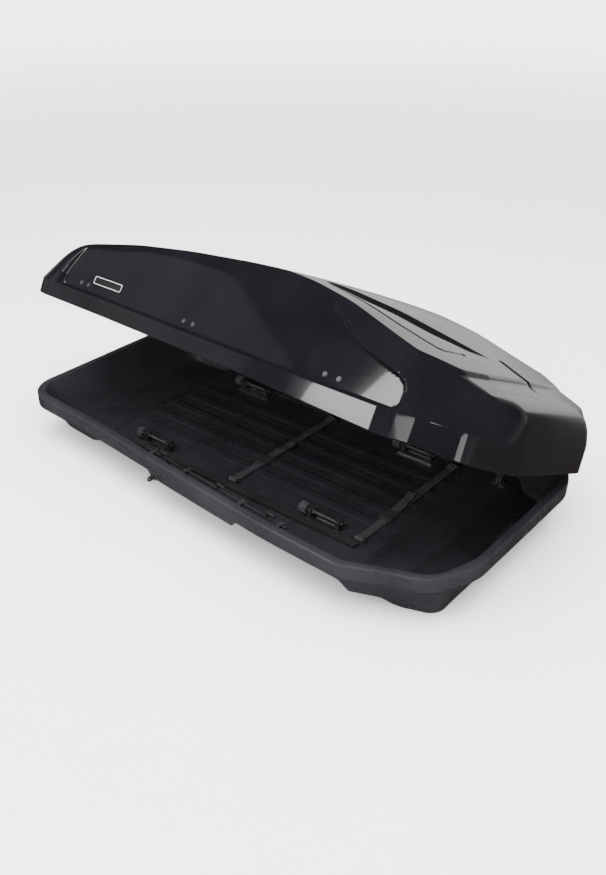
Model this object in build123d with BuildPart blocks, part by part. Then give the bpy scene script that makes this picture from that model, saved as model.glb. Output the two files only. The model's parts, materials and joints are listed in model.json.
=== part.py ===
from build123d import *
import os
from math import atan2, cos, radians, sin, tan

# Roof cargo box: a deep tray that clamps to two crossbars, and a side-opening lid on it.
# Millimetres. +X runs from the nose to the tail, -Y is the opening side, +Y the hinge side, +Z up.
# Origin: centre of the flat underside that stands on the crossbars.
# The rest pose has the lid open by REST_OPEN degrees.

# ---- driving dimensions -------------------------------------------------------------------
LENGTH = 1480.0  # of the tray's rim
# Corners of half of the rim's plan outline, nose to tail: x, y and corner radius.
# The side steps inward near the tail, then runs into a wide round corner.
PLAN = [
    (-740, 335, 95), (-420, 351, 900), (-60, 389, 900), (250, 417, 900), (488, 425, 60),
    (590, 376, 90), (680, 343, 110), (740, 225, 150),
]
NOSE_END_X = -700.0  # corners ahead of this take the nose's inset
TAIL_END_X = 700.0  # corners behind this take the tail's inset

RIM_Z = 88.0  # height of the rim above the underside
BELLY_Z = -52.0  # underside of the tail
FOOT_Z = -20.0  # underside of the nose foot
WALL = 4.0
LIP_DEPTH = 40.0
LOCK_LIP_DEPTH = 56.0  # the lip is deeper round the lock

HINGE_Y = 440.0
HINGE_Z = RIM_Z - 36.0
HINGE_X = (150.0, 300.0, 450.0)
KNUCKLE_RADIUS = 5.0
PIN_RADIUS = 2.0
REST_OPEN = 25.0  # lid angle at rest, from closed
RUNNING = 0.06  # radial clearance of a pin, rod or spindle in its bore

SLOT_X = 300.0
SLOT_Y = 215.0
SLOT_LENGTH = 120.0
SLOT_RADIUS = 4.5
SPARE_SLOT_X = 110.0
SPINDLE_Z = 22.0
SPINDLE_RADIUS = 4.0

STAY_X = (-150.0, 530.0)
STAY_ARM = 170.0  # hinge line to each end of a stay
STAY_BASE_ANGLE = 13.6  # tray end below the hinge line
STAY_LID_ANGLE = 45.0  # lid end above it, with the lid shut
STAY_TUBE = 157.0
STAY_ROD = 148.0
STAY_PIN = 3.0

STRAP_X = (-10.0, 410.0)
STRAP_Y = 224.0
STRAP_WIDTH = 25.0


def plan_corners(side, nose, tail, spread=0.0):
    """Corners of half of the plan outline, moved inward, each with its fillet radius.

    spread adds to the side inset at the tail end.
    """
    corners = []
    for x, y, radius in PLAN:
        inset = side + spread * (x + LENGTH / 2) / LENGTH
        ends = nose if x < NOSE_END_X else tail if x > TAIL_END_X else 0.0
        x_in = x + ends if x < 0 else x - ends
        corners.append((x_in, y - inset, max(radius - inset, 12.0)))
    return corners


def plan(side, nose, tail, spread=0.0, y_shift=0.0):
    """The whole outline as corners in order round the tray: x, y and radius."""
    half = plan_corners(side, nose, tail, spread)
    near = [(x, -y - y_shift, r) for x, y, r in half]
    far = [(x, y - y_shift, r) for x, y, r in reversed(half)]
    return near + far


def rounded_wire(corners):
    """A closed wire of lines and arcs through a run of corners, each with its own radius."""
    bends = []
    count = len(corners)
    for k in range(count):
        x, y, r = corners[k]
        before = Vector(*corners[k - 1][:2]) - Vector(x, y)
        after = Vector(*corners[(k + 1) % count][:2]) - Vector(x, y)
        half_angle = radians(before.get_angle(after)) / 2
        reach = min(r / tan(half_angle), 0.45 * before.length, 0.45 * after.length)
        radius = reach * tan(half_angle)
        bisector = (before.normalized() + after.normalized()).normalized()
        start = Vector(x, y) + before.normalized() * reach
        middle = Vector(x, y) + bisector * (radius / sin(half_angle) - radius)
        end = Vector(x, y) + after.normalized() * reach
        bends.append((start, middle, end))
    with BuildLine() as outline:
        for k, (start, middle, end) in enumerate(bends):
            Line(bends[k - 1][2], start)
            ThreePointArc(start, middle, end)
    return outline.wire()


# The lid's roof line, nose to tail: x, and height above the rim plane.
ROOF = [
    (-800, 70), (-571, 135), (-402, 168), (-211, 192), (0, 211), (110, 217), (200, 212),
    (317, 194), (476, 151), (634, 113), (690, 98), (722, 78), (742, 48), (752, 10), (760, -60),
]


def finish(builder, name):
    builder.part.label = name
    export_step(builder.part, f"parts/{name}.step")


os.makedirs("parts", exist_ok=True)

# ---- frames that the pieces are drawn in ----------------------------------------------------
tilt = radians(REST_OPEN)
lid_up = (0, sin(tilt), cos(tilt))
lid_plane = Plane(origin=(0, HINGE_Y, HINGE_Z), x_dir=(1, 0, 0), z_dir=lid_up)
lid_side = Plane(origin=(0, HINGE_Y, HINGE_Z), x_dir=(1, 0, 0), z_dir=-lid_plane.y_dir)
lid_cross = Plane(origin=(0, HINGE_Y, HINGE_Z), x_dir=lid_plane.y_dir, z_dir=(1, 0, 0))


def on_lid(z):
    """A plane across the lid, at the height that z has when the lid is shut."""
    return lid_plane.offset(z - HINGE_Z)


# The latch line runs along the near side: local x along the side, y inward, z up.
LATCH_INSET = 56.0
SIDE_SLOPE = 28 / 310
side_angle = atan2(SIDE_SLOPE, 1)
latch_plane = Plane(
    origin=(50, -(399 - LATCH_INSET), RIM_Z - 22),
    x_dir=(cos(side_angle), -sin(side_angle), 0),
    z_dir=(0, 0, 1),
)
LATCH_S = (-225.0, 0.0, 180.0)  # hooks, along the latch line
LOCK_S = -190.0
LOCK_DROP = 23.0  # lock axis below the rod
LOCK_RADIUS = 6.0
lock_centre = latch_plane.from_local_coords(Vector(LOCK_S, -LATCH_INSET, -LOCK_DROP))
LOCK_X = lock_centre.X
# The lock's own frame: z points out of the tray, x along the side towards the tail.
lock_plane = Plane(origin=lock_centre, x_dir=latch_plane.x_dir, z_dir=-latch_plane.y_dir)



def half_width(x):
    """Half of the rim's width at x."""
    for (x0, y0, _), (x1, y1, _) in zip(PLAN, PLAN[1:]):
        if x0 <= x <= x1:
            return y0 + (y1 - y0) * (x - x0) / (x1 - x0)
    return PLAN[-1][1]


def with_lid(plane):
    """A plane drawn for the shut lid, carried along to where the open lid has it."""
    shut = Plane(origin=(0, HINGE_Y, HINGE_Z))
    origin = lid_plane.from_local_coords(shut.to_local_coords(plane.origin))
    x_end = lid_plane.from_local_coords(shut.to_local_coords(plane.origin + plane.x_dir))
    z_end = lid_plane.from_local_coords(shut.to_local_coords(plane.origin + plane.z_dir))
    return Plane(origin=origin, x_dir=x_end - origin, z_dir=z_end - origin)


# ---- tray -------------------------------------------------------------------------------------
BODY_TOP = (RIM_Z - 2, 20, 20, 10)  # level, then inset at the side, the nose and the tail
BODY_BOTTOM = (BELLY_Z - 6, 62, 118, 62)
UNDERSIDE = [
    (-800, 40), (-655, FOOT_Z + 8), (-635, FOOT_Z), (-500, FOOT_Z), (-455, 0),
    (462, 0), (486, -24), (556, -28), (580, BELLY_Z + 6), (598, BELLY_Z), (690, BELLY_Z),
    (800, BELLY_Z + 60),
]

NOTCH_HALF_WIDTH = 38.0
NOTCH = [(648, -80), (690, RIM_Z - LIP_DEPTH - 2), (800, RIM_Z - LIP_DEPTH - 2), (800, -80)]

with BuildPart() as tray_void:
    for z, side, nose, tail in (BODY_TOP, BODY_BOTTOM):
        with BuildSketch(Plane.XY.offset(z + 10)):
            with BuildLine():
                add(rounded_wire(plan(side + WALL, nose + WALL, tail + WALL)))
            make_face()
    loft(ruled=True)
    with BuildSketch(Plane.XZ):
        with BuildLine():
            Polyline((-800, 300), *[(x, z + WALL) for x, z in UNDERSIDE], (800, 300), close=True)
        make_face()
    extrude(amount=500, both=True, mode=Mode.INTERSECT)
    with BuildSketch(Plane.XZ):
        with BuildLine():
            Polyline(*NOTCH, close=True)
        make_face()
        offset(amount=WALL, kind=Kind.INTERSECTION)
    extrude(amount=NOTCH_HALF_WIDTH + WALL, both=True, mode=Mode.SUBTRACT)

with BuildPart() as base_tray:
    for z, side, nose, tail in (BODY_TOP, BODY_BOTTOM):
        with BuildSketch(Plane.XY.offset(z)):
            with BuildLine():
                add(rounded_wire(plan(side, nose, tail)))
            make_face()
    loft(ruled=True)
    with BuildSketch(Plane.XZ):
        with BuildLine():
            Polyline((-800, 300), *UNDERSIDE, (800, 300), close=True)
        make_face()
    extrude(amount=500, both=True, mode=Mode.INTERSECT)
    # an upright channel in the middle of the tail
    with BuildSketch(Plane.XZ):
        with BuildLine():
            Polyline(*NOTCH, close=True)
        make_face()
    extrude(amount=NOTCH_HALF_WIDTH, both=True, mode=Mode.SUBTRACT)
    # the flat flange of the rim and the lip that hangs from it
    with BuildSketch(Plane.XY.offset(RIM_Z - LIP_DEPTH)):
        with BuildLine():
            add(rounded_wire(plan(0, 0, 0)))
        make_face()
        offset(amount=-WALL, mode=Mode.SUBTRACT)
    extrude(amount=LIP_DEPTH)
    with BuildSketch(Plane.XY.offset(RIM_Z - WALL)):
        with BuildLine():
            add(rounded_wire(plan(1, 1, 1)))
        make_face()
    extrude(amount=WALL)
    add(tray_void.part, mode=Mode.SUBTRACT)
    # the deeper stretch of lip round the lock
    with BuildSketch(Plane.XY.offset(RIM_Z - LOCK_LIP_DEPTH)):
        with BuildLine():
            add(rounded_wire(plan(0, 0, 0)))
        make_face()
        offset(amount=-WALL, mode=Mode.SUBTRACT)
        with Locations((LOCK_X + 140, -400)):
            Rectangle(330, 120, mode=Mode.INTERSECT)
    extrude(amount=LOCK_LIP_DEPTH - LIP_DEPTH + 1)
    with BuildSketch(lock_plane.offset(-45)):
        Circle(LOCK_RADIUS + 3.1)
    extrude(amount=90, mode=Mode.SUBTRACT)
    # slots for the clamp bolts, and four spare ones further in
    with BuildSketch(Plane.XY.offset(-10)):
        with Locations(*[(x, y) for x in (-SLOT_X, SLOT_X) for y in (-SLOT_Y, SLOT_Y)]):
            SlotOverall(SLOT_LENGTH, 2 * SLOT_RADIUS)
        with Locations(*[(x, y) for x in (-SPARE_SLOT_X, SPARE_SLOT_X) for y in (-SLOT_Y, SLOT_Y)]):
            SlotOverall(SLOT_LENGTH, 2 * SLOT_RADIUS)
    extrude(amount=30, mode=Mode.SUBTRACT)
finish(base_tray, "base_tray")


# ---- lid shell ---------------------------------------------------------------------------------
# Heights above the rim plane, then inset at the side, the nose and the tail.
SKIRT_LOW = (-36, -8, -8, -26)
SKIRT_HIGH = (8, -5, -4, -24)
FLANK_LOW = (4, -5, -3, -24)
FLANK_HIGH = (230, 75, 165, 6)
PANEL_LOW = (4, 6, 0, 0)
PANEL_HIGH = (240, 73, 88, 0)
PANEL_SPREAD = 16.0  # the panel sits deeper towards the tail
PANEL_EDGE = [(-603, 8), (541, 8), (541, 52), (525, 76), (406, 108), (300, 172), (-515, 172)]
RECESS_HALF_WIDTH = 125.0
RECESS_FLOOR = [(60, 230), (150, 198), (200, 192), (317, 176), (440, 143), (500, 134), (528, 150)]


def lid_form(inset):
    """The lid as a solid, its surface moved inward. An inset form runs on below the skirt."""
    drop = 20 if inset else 0
    with BuildPart() as form:
        for (low, *low_insets), (high, *high_insets) in ((SKIRT_LOW, SKIRT_HIGH), (FLANK_LOW, FLANK_HIGH)):
            lower = -drop if low == SKIRT_LOW[0] else 0
            upper = -inset if low == SKIRT_LOW[0] else 0
            for z, insets in ((low + lower, low_insets), (high + upper, high_insets)):
                with BuildSketch(on_lid(RIM_Z + z)):
                    with BuildLine():
                        add(rounded_wire(plan(*[i + inset for i in insets], y_shift=HINGE_Y)))
                    make_face()
            loft(ruled=True)
        with BuildSketch(lid_side):
            with BuildLine():
                crown = [(x, RIM_Z + z - HINGE_Z - inset) for x, z in ROOF]
                Spline(*crown)
                Polyline(crown[-1], (900, -200), (-900, -200), crown[0])
            make_face()
        extrude(amount=1000, both=True, mode=Mode.INTERSECT)
    return form.part


def lid_hollows(grow):
    """What is pressed into the lid: a panel along each side and a long recess in the roof."""
    with BuildPart() as panel_core:
        for (z, side, nose, tail), spread in ((PANEL_LOW, PANEL_SPREAD), (PANEL_HIGH, 0)):
            with BuildSketch(on_lid(RIM_Z + z - (8 if z < 10 else 0))):
                with BuildLine():
                    add(rounded_wire(plan(side + grow, nose, tail, spread, HINGE_Y)))
                make_face()
        loft(ruled=True)
    with BuildPart() as hollows:
        with BuildSketch(lid_side):
            with BuildLine():
                Polyline(*[(x, RIM_Z + z - HINGE_Z) for x, z in PANEL_EDGE], close=True)
            make_face()
            fillet(vertices().group_by(Axis.X)[-1], 12)
            if grow:
                offset(amount=grow, kind=Kind.INTERSECTION)
        extrude(amount=1000, both=True)
        add(panel_core.part, mode=Mode.SUBTRACT)
        with BuildSketch(lid_side.offset(HINGE_Y)):
            with BuildLine():
                floor = [(x, RIM_Z + z - HINGE_Z - grow) for x, z in RECESS_FLOOR]
                Polyline(*floor, (floor[-1][0], 400), (floor[0][0], 400), close=True)
            make_face()
        extrude(amount=RECESS_HALF_WIDTH + grow, both=True)
    return hollows.part


with BuildPart() as lid_void:
    add(lid_form(WALL))
    add(lid_hollows(WALL), mode=Mode.SUBTRACT)

with BuildPart() as lid_shell:
    add(lid_form(0))
    add(lid_hollows(0), mode=Mode.SUBTRACT)
    add(lid_void.part, mode=Mode.SUBTRACT)
finish(lid_shell, "lid_shell")


# ---- what stiffens the tray and the lid ------------------------------------------------------
with BuildPart() as base_rails:
    for y in (-250, 250):
        with BuildSketch(Plane.YZ.offset(-380)):
            with Locations((y, WALL + 4.5)):
                Rectangle(20, 9)
            with Locations((y, WALL + 3.5)):
                Rectangle(16, 7, mode=Mode.SUBTRACT)
        extrude(amount=800)
finish(base_rails, "base_rails")

RAIL_LOW = RIM_Z + 18.0
RAIL_HIGH = RIM_Z + 36.0
RAIL_INSET = 31.0
with BuildPart() as lid_rails:
    for low, high, inner, mode in (
        (RAIL_LOW, RAIL_HIGH, RAIL_INSET, Mode.ADD),
        (RAIL_LOW + 2.5, RAIL_HIGH - 2.5, RAIL_INSET - 2.5, Mode.SUBTRACT),
    ):
        with BuildSketch(on_lid(low)):
            with BuildLine():
                add(rounded_wire(plan(8, 0, 0, PANEL_SPREAD, HINGE_Y)))
            make_face()
            with BuildLine():
                add(rounded_wire(plan(inner, 0, 0, PANEL_SPREAD, HINGE_Y)))
            make_face(mode=Mode.SUBTRACT)
            with Locations((-45, -HINGE_Y)):
                Rectangle(1030, 1000, mode=Mode.INTERSECT)
        extrude(amount=high - low, mode=mode)
    add(lid_void.part, mode=Mode.INTERSECT)
finish(lid_rails, "lid_rails")

# ---- hinges on the far side --------------------------------------------------------------------
with BuildPart() as hinge_brackets:
    with BuildSketch(Plane.XY.offset(RIM_Z - 43)):
        with BuildLine():
            add(rounded_wire(plan(-1.5, 0, 0)))
        make_face()
        with BuildLine():
            add(rounded_wire(plan(0, 0, 0)))
        make_face(mode=Mode.SUBTRACT)
        with Locations(*[(x, 420) for x in HINGE_X]):
            Rectangle(40, 100, mode=Mode.INTERSECT)
    extrude(amount=27)
    for x in HINGE_X:
        for x_low in (x - 20, x + 8):
            inner_y = max(half_width(x_low), half_width(x_low + 12)) + 0.2
            with BuildSketch(Plane.YZ.offset(x_low)):
                with Locations(((inner_y + HINGE_Y) / 2, HINGE_Z - 5.5)):
                    Rectangle(HINGE_Y - inner_y, 5)
                with Locations((HINGE_Y, HINGE_Z)):
                    Circle(KNUCKLE_RADIUS)
                    Circle(PIN_RADIUS + RUNNING, mode=Mode.SUBTRACT)
            extrude(amount=12)
finish(hinge_brackets, "hinge_brackets")

with BuildPart() as hinge_leaves:
    for grow, mode in ((-2, Mode.ADD), (0, Mode.SUBTRACT)):
        for z, side, nose, tail in (SKIRT_LOW, SKIRT_HIGH):
            with BuildSketch(on_lid(RIM_Z + z)):
                with BuildLine():
                    add(rounded_wire(plan(side + grow, nose, tail, 0, HINGE_Y)))
                make_face()
        loft(ruled=True, mode=mode)
    with BuildSketch(on_lid(HINGE_Z - 1)):
        with Locations(*[(x, -20) for x in HINGE_X]):
            Rectangle(40, 100)
    extrude(amount=34, mode=Mode.INTERSECT)
    for x in HINGE_X:
        leaf_y = half_width(x) + 8 + 1.2 - HINGE_Y
        with BuildSketch(lid_cross.offset(x - 7.5)):
            with Locations((leaf_y / 2, 3)):
                Rectangle(-leaf_y, 4)
            Circle(KNUCKLE_RADIUS)
            Circle(PIN_RADIUS + RUNNING, mode=Mode.SUBTRACT)
        extrude(amount=15)
finish(hinge_leaves, "hinge_leaves")

with BuildPart() as hinge_pins:
    for x in HINGE_X:
        with BuildSketch(Plane.YZ.offset(x - 22)):
            with Locations((HINGE_Y, HINGE_Z)):
                Circle(PIN_RADIUS)
        extrude(amount=44)
        for x_low in (x - 22, x + 20.2):
            with BuildSketch(Plane.YZ.offset(x_low)):
                with Locations((HINGE_Y, HINGE_Z)):
                    Circle(3.6)
            extrude(amount=1.8)
finish(hinge_pins, "hinge_pins")

with BuildPart() as tray_rivets:
    for x in [x0 + side for x0 in HINGE_X for side in (-14, 14)]:
        lip_y = half_width(x)
        for radius, y_low, y_high in ((2, -5.5, 2), (3, 1.5, 2.1), (3.6, -5.6, -4.1)):
            with BuildSketch(Plane.XZ.offset(-lip_y - y_high)):
                with Locations((x, RIM_Z - 30)):
                    Circle(radius)
            extrude(amount=y_high - y_low)
finish(tray_rivets, "tray_rivets")

with BuildPart() as leaf_rivets:
    for x in [x0 + side for x0 in HINGE_X for side in (-14, 14)]:
        skirt_y = half_width(x) + 7
        for radius, y_low, y_high in ((2, -3.7, 3.6), (3.6, 2.1, 3.8)):
            with BuildSketch(lid_side.offset(HINGE_Y - skirt_y - y_high)):
                with Locations((x, 16)):
                    Circle(radius)
            extrude(amount=y_high - y_low)
finish(leaf_rivets, "leaf_rivets")

# ---- lock and latch on the near side -----------------------------------------------------------
CRANK = 14.14  # lock axis to crank pin
with BuildPart() as lock_housing:
    with BuildSketch(lock_plane.offset(-44)):
        Circle(LOCK_RADIUS + 3)
    extrude(amount=45)
    with BuildSketch(lock_plane.offset(-0.9)):
        Circle(LOCK_RADIUS + 6)
    extrude(amount=2)
    with BuildSketch(lock_plane.offset(-50)):
        Circle(LOCK_RADIUS + RUNNING)
    extrude(amount=60, mode=Mode.SUBTRACT)
finish(lock_housing, "lock_housing")

with BuildPart() as lock_cylinder:
    with BuildSketch(lock_plane.offset(-49)):
        Circle(LOCK_RADIUS)
    extrude(amount=51)
    with BuildSketch(lock_plane.offset(-12)):
        Rectangle(1.8, 7.2)
    extrude(amount=20, mode=Mode.SUBTRACT)
    pin_x = -CRANK * sin(radians(45))
    pin_y = CRANK * cos(radians(45))
    with BuildSketch(lock_plane.offset(-52)):
        Circle(7)
        with Locations((pin_x, pin_y)):
            Circle(4)
        with Locations(Location((pin_x / 2, pin_y / 2), 135)):
            Rectangle(CRANK, 8)
    extrude(amount=3)
    with BuildSketch(lock_plane.offset(-59)):
        with Locations((pin_x, pin_y)):
            Circle(2)
    extrude(amount=8)
finish(lock_cylinder, "lock_cylinder")

with BuildPart() as key:
    with BuildSketch(lock_plane.offset(-11.8)):
        Rectangle(1.4, 6.8)
    extrude(amount=18)
    with BuildSketch(Plane(origin=lock_plane.origin, x_dir=lock_plane.z_dir, z_dir=lock_plane.x_dir)):
        with Locations((14, 0)):
            SlotOverall(22, 15)
        with Locations((19, 0)):
            Circle(2.5, mode=Mode.SUBTRACT)
    extrude(amount=1.2, both=True)
finish(key, "key")

latch_across = Plane(origin=latch_plane.origin, x_dir=latch_plane.y_dir, z_dir=latch_plane.x_dir)
latch_along = Plane(origin=latch_plane.origin, x_dir=latch_plane.x_dir, z_dir=-latch_plane.y_dir)
with BuildPart() as latch_bar:
    with BuildSketch(latch_across.offset(-290)):
        Circle(4)
    extrude(amount=535)
    for s_hook in LATCH_S:
        with BuildSketch(latch_across.offset(s_hook - 4)):
            with Locations((0, 8)):
                Rectangle(7, 18)
        extrude(amount=8)
        with BuildSketch(latch_across.offset(s_hook)):
            with Locations((0, 14)):
                Circle(3.5)
        extrude(amount=24)
    with BuildSketch(latch_along):
        with Locations((LOCK_S + pin_x, -9)):
            Rectangle(16, 18)
        with Locations(Location((LOCK_S + pin_x, (pin_y + CRANK) / 2 - LOCK_DROP), 90)):
            SlotCenterToCenter(CRANK - pin_y, 5.2, mode=Mode.SUBTRACT)
    extrude(amount=1.5, both=True)
finish(latch_bar, "latch_bar")

with BuildPart() as latch_guides:
    for s_guide in (-255, -120, 90, 225):
        with BuildSketch(latch_across.offset(s_guide - 14)):
            with Locations((-31, -2)):
                Rectangle(18, 20)
        extrude(amount=28)
        with BuildSketch(latch_across.offset(s_guide - 6)):
            with Locations((-16, -0.5)):
                Rectangle(48, 11)
        extrude(amount=12)
        with BuildSketch(latch_across.offset(s_guide - 20)):
            Circle(4 + RUNNING)
        extrude(amount=40, mode=Mode.SUBTRACT)
    add(tray_void.part, mode=Mode.INTERSECT)
finish(latch_guides, "latch_guides")

STRIKER = [(-30, 40), (-12, 40), (7, 30), (7, 6), (-7, 6), (-7, 24), (-20, 34), (-30, 34)]
with BuildPart() as lid_strikers:
    for s_hook in LATCH_S:
        with BuildSketch(with_lid(latch_across.offset(s_hook + 28))):
            with BuildLine():
                Polyline(*STRIKER, close=True)
            make_face()
            with Locations((0, 14)):
                Circle(4.8, mode=Mode.SUBTRACT)
        extrude(amount=3)
        with BuildSketch(with_lid(latch_across.offset(s_hook + 18))):
            with Locations((-24, 38.5)):
                Rectangle(12, 3)
        extrude(amount=24)
    add(lid_void.part, mode=Mode.INTERSECT)
finish(lid_strikers, "lid_strikers")

# ---- lid stays ---------------------------------------------------------------------------------
base_swing = radians(STAY_BASE_ANGLE)
lid_swing = radians(STAY_LID_ANGLE + REST_OPEN)
stay_foot = Vector(0, HINGE_Y - STAY_ARM * cos(base_swing), HINGE_Z - STAY_ARM * sin(base_swing))
stay_head = Vector(0, HINGE_Y - STAY_ARM * cos(lid_swing), HINGE_Z + STAY_ARM * sin(lid_swing))
stay_axis = (stay_head - stay_foot).normalized()
stay_length = (stay_head - stay_foot).length
SLOT_REACH = 6.0  # the head eye's slot either side of the pin

shut_swing = radians(STAY_LID_ANGLE)
head_y = -STAY_ARM * cos(shut_swing)  # of the lid end, in the lid's own frame
head_z = STAY_ARM * sin(shut_swing)

with BuildPart() as stay_brackets_base:
    for x in STAY_X:
        for x_low, x_high in ((-5.3, -2.3), (2.3, 5.3)):
            with BuildSketch(Plane.YZ.offset(x + x_low)):
                with BuildLine():
                    y, z = stay_foot.Y, stay_foot.Z
                    Polyline((y - 14, -40), (y + 14, -40), (y + 7, z + 6), (y - 7, z + 6), close=True)
                make_face()
            extrude(amount=x_high - x_low)
        floor_z = WALL if x < 0 else -22.5
        for x_low in (-18, 5):
            with BuildSketch(Plane.YZ.offset(x + x_low)):
                with Locations((stay_foot.Y, floor_z - 2)):
                    Rectangle(28, 9)
            extrude(amount=13)
        with BuildSketch(Plane.YZ.offset(x - 4)):
            with Locations((stay_foot.Y, stay_foot.Z)):
                Circle(STAY_PIN)
        extrude(amount=8)
    add(tray_void.part, mode=Mode.INTERSECT)
finish(stay_brackets_base, "stay_brackets_base")

with BuildPart() as stay_brackets_lid:
    for x in STAY_X:
        for x_low, x_high in ((-5.3, -2.3), (2.3, 5.3)):
            with BuildSketch(lid_cross.offset(x + x_low)):
                with BuildLine():
                    Polyline(
                        (head_y - 7, head_z - 6), (head_y - 7, head_z + 6), (head_y + 100, head_z + 22),
                        (head_y + 100, head_z - 22), close=True,
                    )
                make_face()
            extrude(amount=x_high - x_low)
        with BuildSketch(lid_cross.offset(x - 4)):
            with Locations((head_y + 15.5, head_z)):
                Rectangle(3, 16)
            with Locations((head_y, head_z)):
                Circle(STAY_PIN)
        extrude(amount=8)
    add(lid_void.part, mode=Mode.INTERSECT)
finish(stay_brackets_lid, "stay_brackets_lid")

for name, x in zip(("front", "rear"), STAY_X):
    foot = stay_foot + Vector(x, 0, 0)
    foot_plane = Plane(origin=foot, x_dir=(1, 0, 0), z_dir=stay_axis)
    with BuildPart() as stay_cylinder:
        with BuildSketch(foot_plane.offset(12)):
            Circle(8)
        extrude(amount=STAY_TUBE - 12)
        with BuildSketch(foot_plane.offset(20)):
            Circle(4 + RUNNING)
        extrude(amount=STAY_TUBE, mode=Mode.SUBTRACT)
        with BuildSketch(Plane.YZ.offset(x)):
            with Locations((foot.Y, foot.Z)):
                Circle(6.5)
            with Locations(Location((foot.Y + 7 * stay_axis.Y, foot.Z + 7 * stay_axis.Z),
                                    90 - REST_OPEN)):
                Rectangle(12, 9)
            with Locations((foot.Y, foot.Z)):
                Circle(STAY_PIN + RUNNING, mode=Mode.SUBTRACT)
        extrude(amount=2, both=True)
    finish(stay_cylinder, f"stay_{name}_cylinder")

    with BuildPart() as stay_rod:
        with BuildSketch(foot_plane.offset(stay_length - STAY_ROD)):
            Circle(4)
        extrude(amount=STAY_ROD - 19)
        eye_plane = Plane(origin=foot + stay_axis * stay_length, x_dir=stay_axis, z_dir=(1, 0, 0))
        with BuildSketch(eye_plane):
            SlotCenterToCenter(2 * SLOT_REACH, 12.6)
            with Locations((-15, 0)):
                Rectangle(14, 7)
            SlotCenterToCenter(2 * SLOT_REACH, 2 * (STAY_PIN + RUNNING), mode=Mode.SUBTRACT)
        extrude(amount=2, both=True)
    finish(stay_rod, f"stay_{name}_rod")

# ---- crossbar clamps ---------------------------------------------------------------------------
clamp_places = [(x, y) for x in (-SLOT_X, SLOT_X) for y in (-SLOT_Y, SLOT_Y)]
# Half of a claw, from its thick root down to the toe that reaches under the bar.
CLAW = [(12, 14), (12, -42), (-8, -42), (-14, -34), (-8, -31), (4, -22), (4, 14)]
CLAW_X = 34.0

with BuildPart() as clamp_plates:
    with BuildSketch(Plane.XY.offset(WALL)):
        with Locations(*[(x + 2, y) for x, y in clamp_places]):
            Rectangle(112, 48)
        with Locations(*clamp_places):
            SlotOverall(106, 9.6, mode=Mode.SUBTRACT)
    extrude(amount=4)
finish(clamp_plates, "clamp_plates")

with BuildPart() as clamp_claws:
    for x, y in clamp_places:
        with BuildSketch(Plane.XZ.offset(-y)):
            with BuildLine():
                Polyline(*[(x - CLAW_X - px, z) for px, z in CLAW], close=True)
            make_face()
        extrude(amount=3.5, both=True)
        with BuildSketch(Plane.YZ.offset(x - 52)):
            with Locations((y, WALL + 15.5)):
                RectangleRounded(22, 23, 3)
            with Locations((y, SPINDLE_Z)):
                Circle(SPINDLE_RADIUS + RUNNING, mode=Mode.SUBTRACT)
        extrude(amount=12)
finish(clamp_claws, "clamp_claws")

for number, (x, y) in enumerate(clamp_places, start=1):
    with BuildPart() as clamp_jaw:
        with BuildSketch(Plane.XZ.offset(-y)):
            with BuildLine():
                Polyline(*[(x + CLAW_X + px, z) for px, z in CLAW], close=True)
            make_face()
        extrude(amount=3.5, both=True)
        with BuildSketch(Plane.YZ.offset(x + 36)):
            with Locations((y, WALL + 15.7)):
                RectangleRounded(22, 23, 3)
            with Locations((y, SPINDLE_Z)):
                Circle(SPINDLE_RADIUS + RUNNING, mode=Mode.SUBTRACT)
        extrude(amount=12)
    finish(clamp_jaw, f"clamp_jaw_{number}")

    with BuildPart() as clamp_knob:
        with BuildSketch(Plane.YZ.offset(x - 78)):
            with Locations((y, SPINDLE_Z)):
                Circle(15.5)
                with PolarLocations(17, 8):
                    Circle(3.6, mode=Mode.SUBTRACT)
        extrude(amount=22)
        with BuildSketch(Plane.YZ.offset(x - 57)):
            with Locations((y, SPINDLE_Z)):
                Circle(SPINDLE_RADIUS)
        extrude(amount=110)
        with BuildSketch(Plane.YZ.offset(x - 39.8)):
            with Locations((y, SPINDLE_Z)):
                Circle(7)
        extrude(amount=4)
    finish(clamp_knob, f"clamp_knob_{number}")

# ---- lashing straps ----------------------------------------------------------------------------
STRAP_LINE = [
    (3 - STRAP_Y, 13), (20 - STRAP_Y, 8.5), (40 - STRAP_Y, 7.5),
    (STRAP_Y - 40, 7.5), (STRAP_Y - 20, 8.5), (STRAP_Y - 3, 13),
]
STRAP_THICKNESS = 1.6
BUCKLE_Y = -90.0

with BuildPart() as floor_anchors:
    for x in STRAP_X:
        for y in (-STRAP_Y, STRAP_Y):
            with BuildSketch(Plane.XY.offset(WALL)):
                with Locations((x, y)):
                    RectangleRounded(46, 26, 4)
            extrude(amount=2)
            with BuildSketch(Plane.YZ.offset(x - 18)):
                with Locations((y, 11)):
                    Circle(3)
            extrude(amount=36)
            for x_low in (x - 18, x + 14):
                with BuildSketch(Plane.YZ.offset(x_low)):
                    with Locations((y, 9.5)):
                        RectangleRounded(9, 11, 2.5)
                extrude(amount=4)
finish(floor_anchors, "floor_anchors")

with BuildPart() as strap_webbing:
    for x in STRAP_X:
        with BuildSketch(Plane.YZ.offset(x - STRAP_WIDTH / 2)):
            with BuildLine():
                upper = [(y, z + STRAP_THICKNESS) for y, z in reversed(STRAP_LINE)]
                Polyline(*STRAP_LINE, *upper, close=True)
            make_face()
            with Locations((-STRAP_Y, 11), (STRAP_Y, 11)):
                Circle(4.8)
            with Locations((-STRAP_Y, 11), (STRAP_Y, 11)):
                Circle(3.2, mode=Mode.SUBTRACT)
        extrude(amount=STRAP_WIDTH)
finish(strap_webbing, "strap_webbing")

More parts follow.
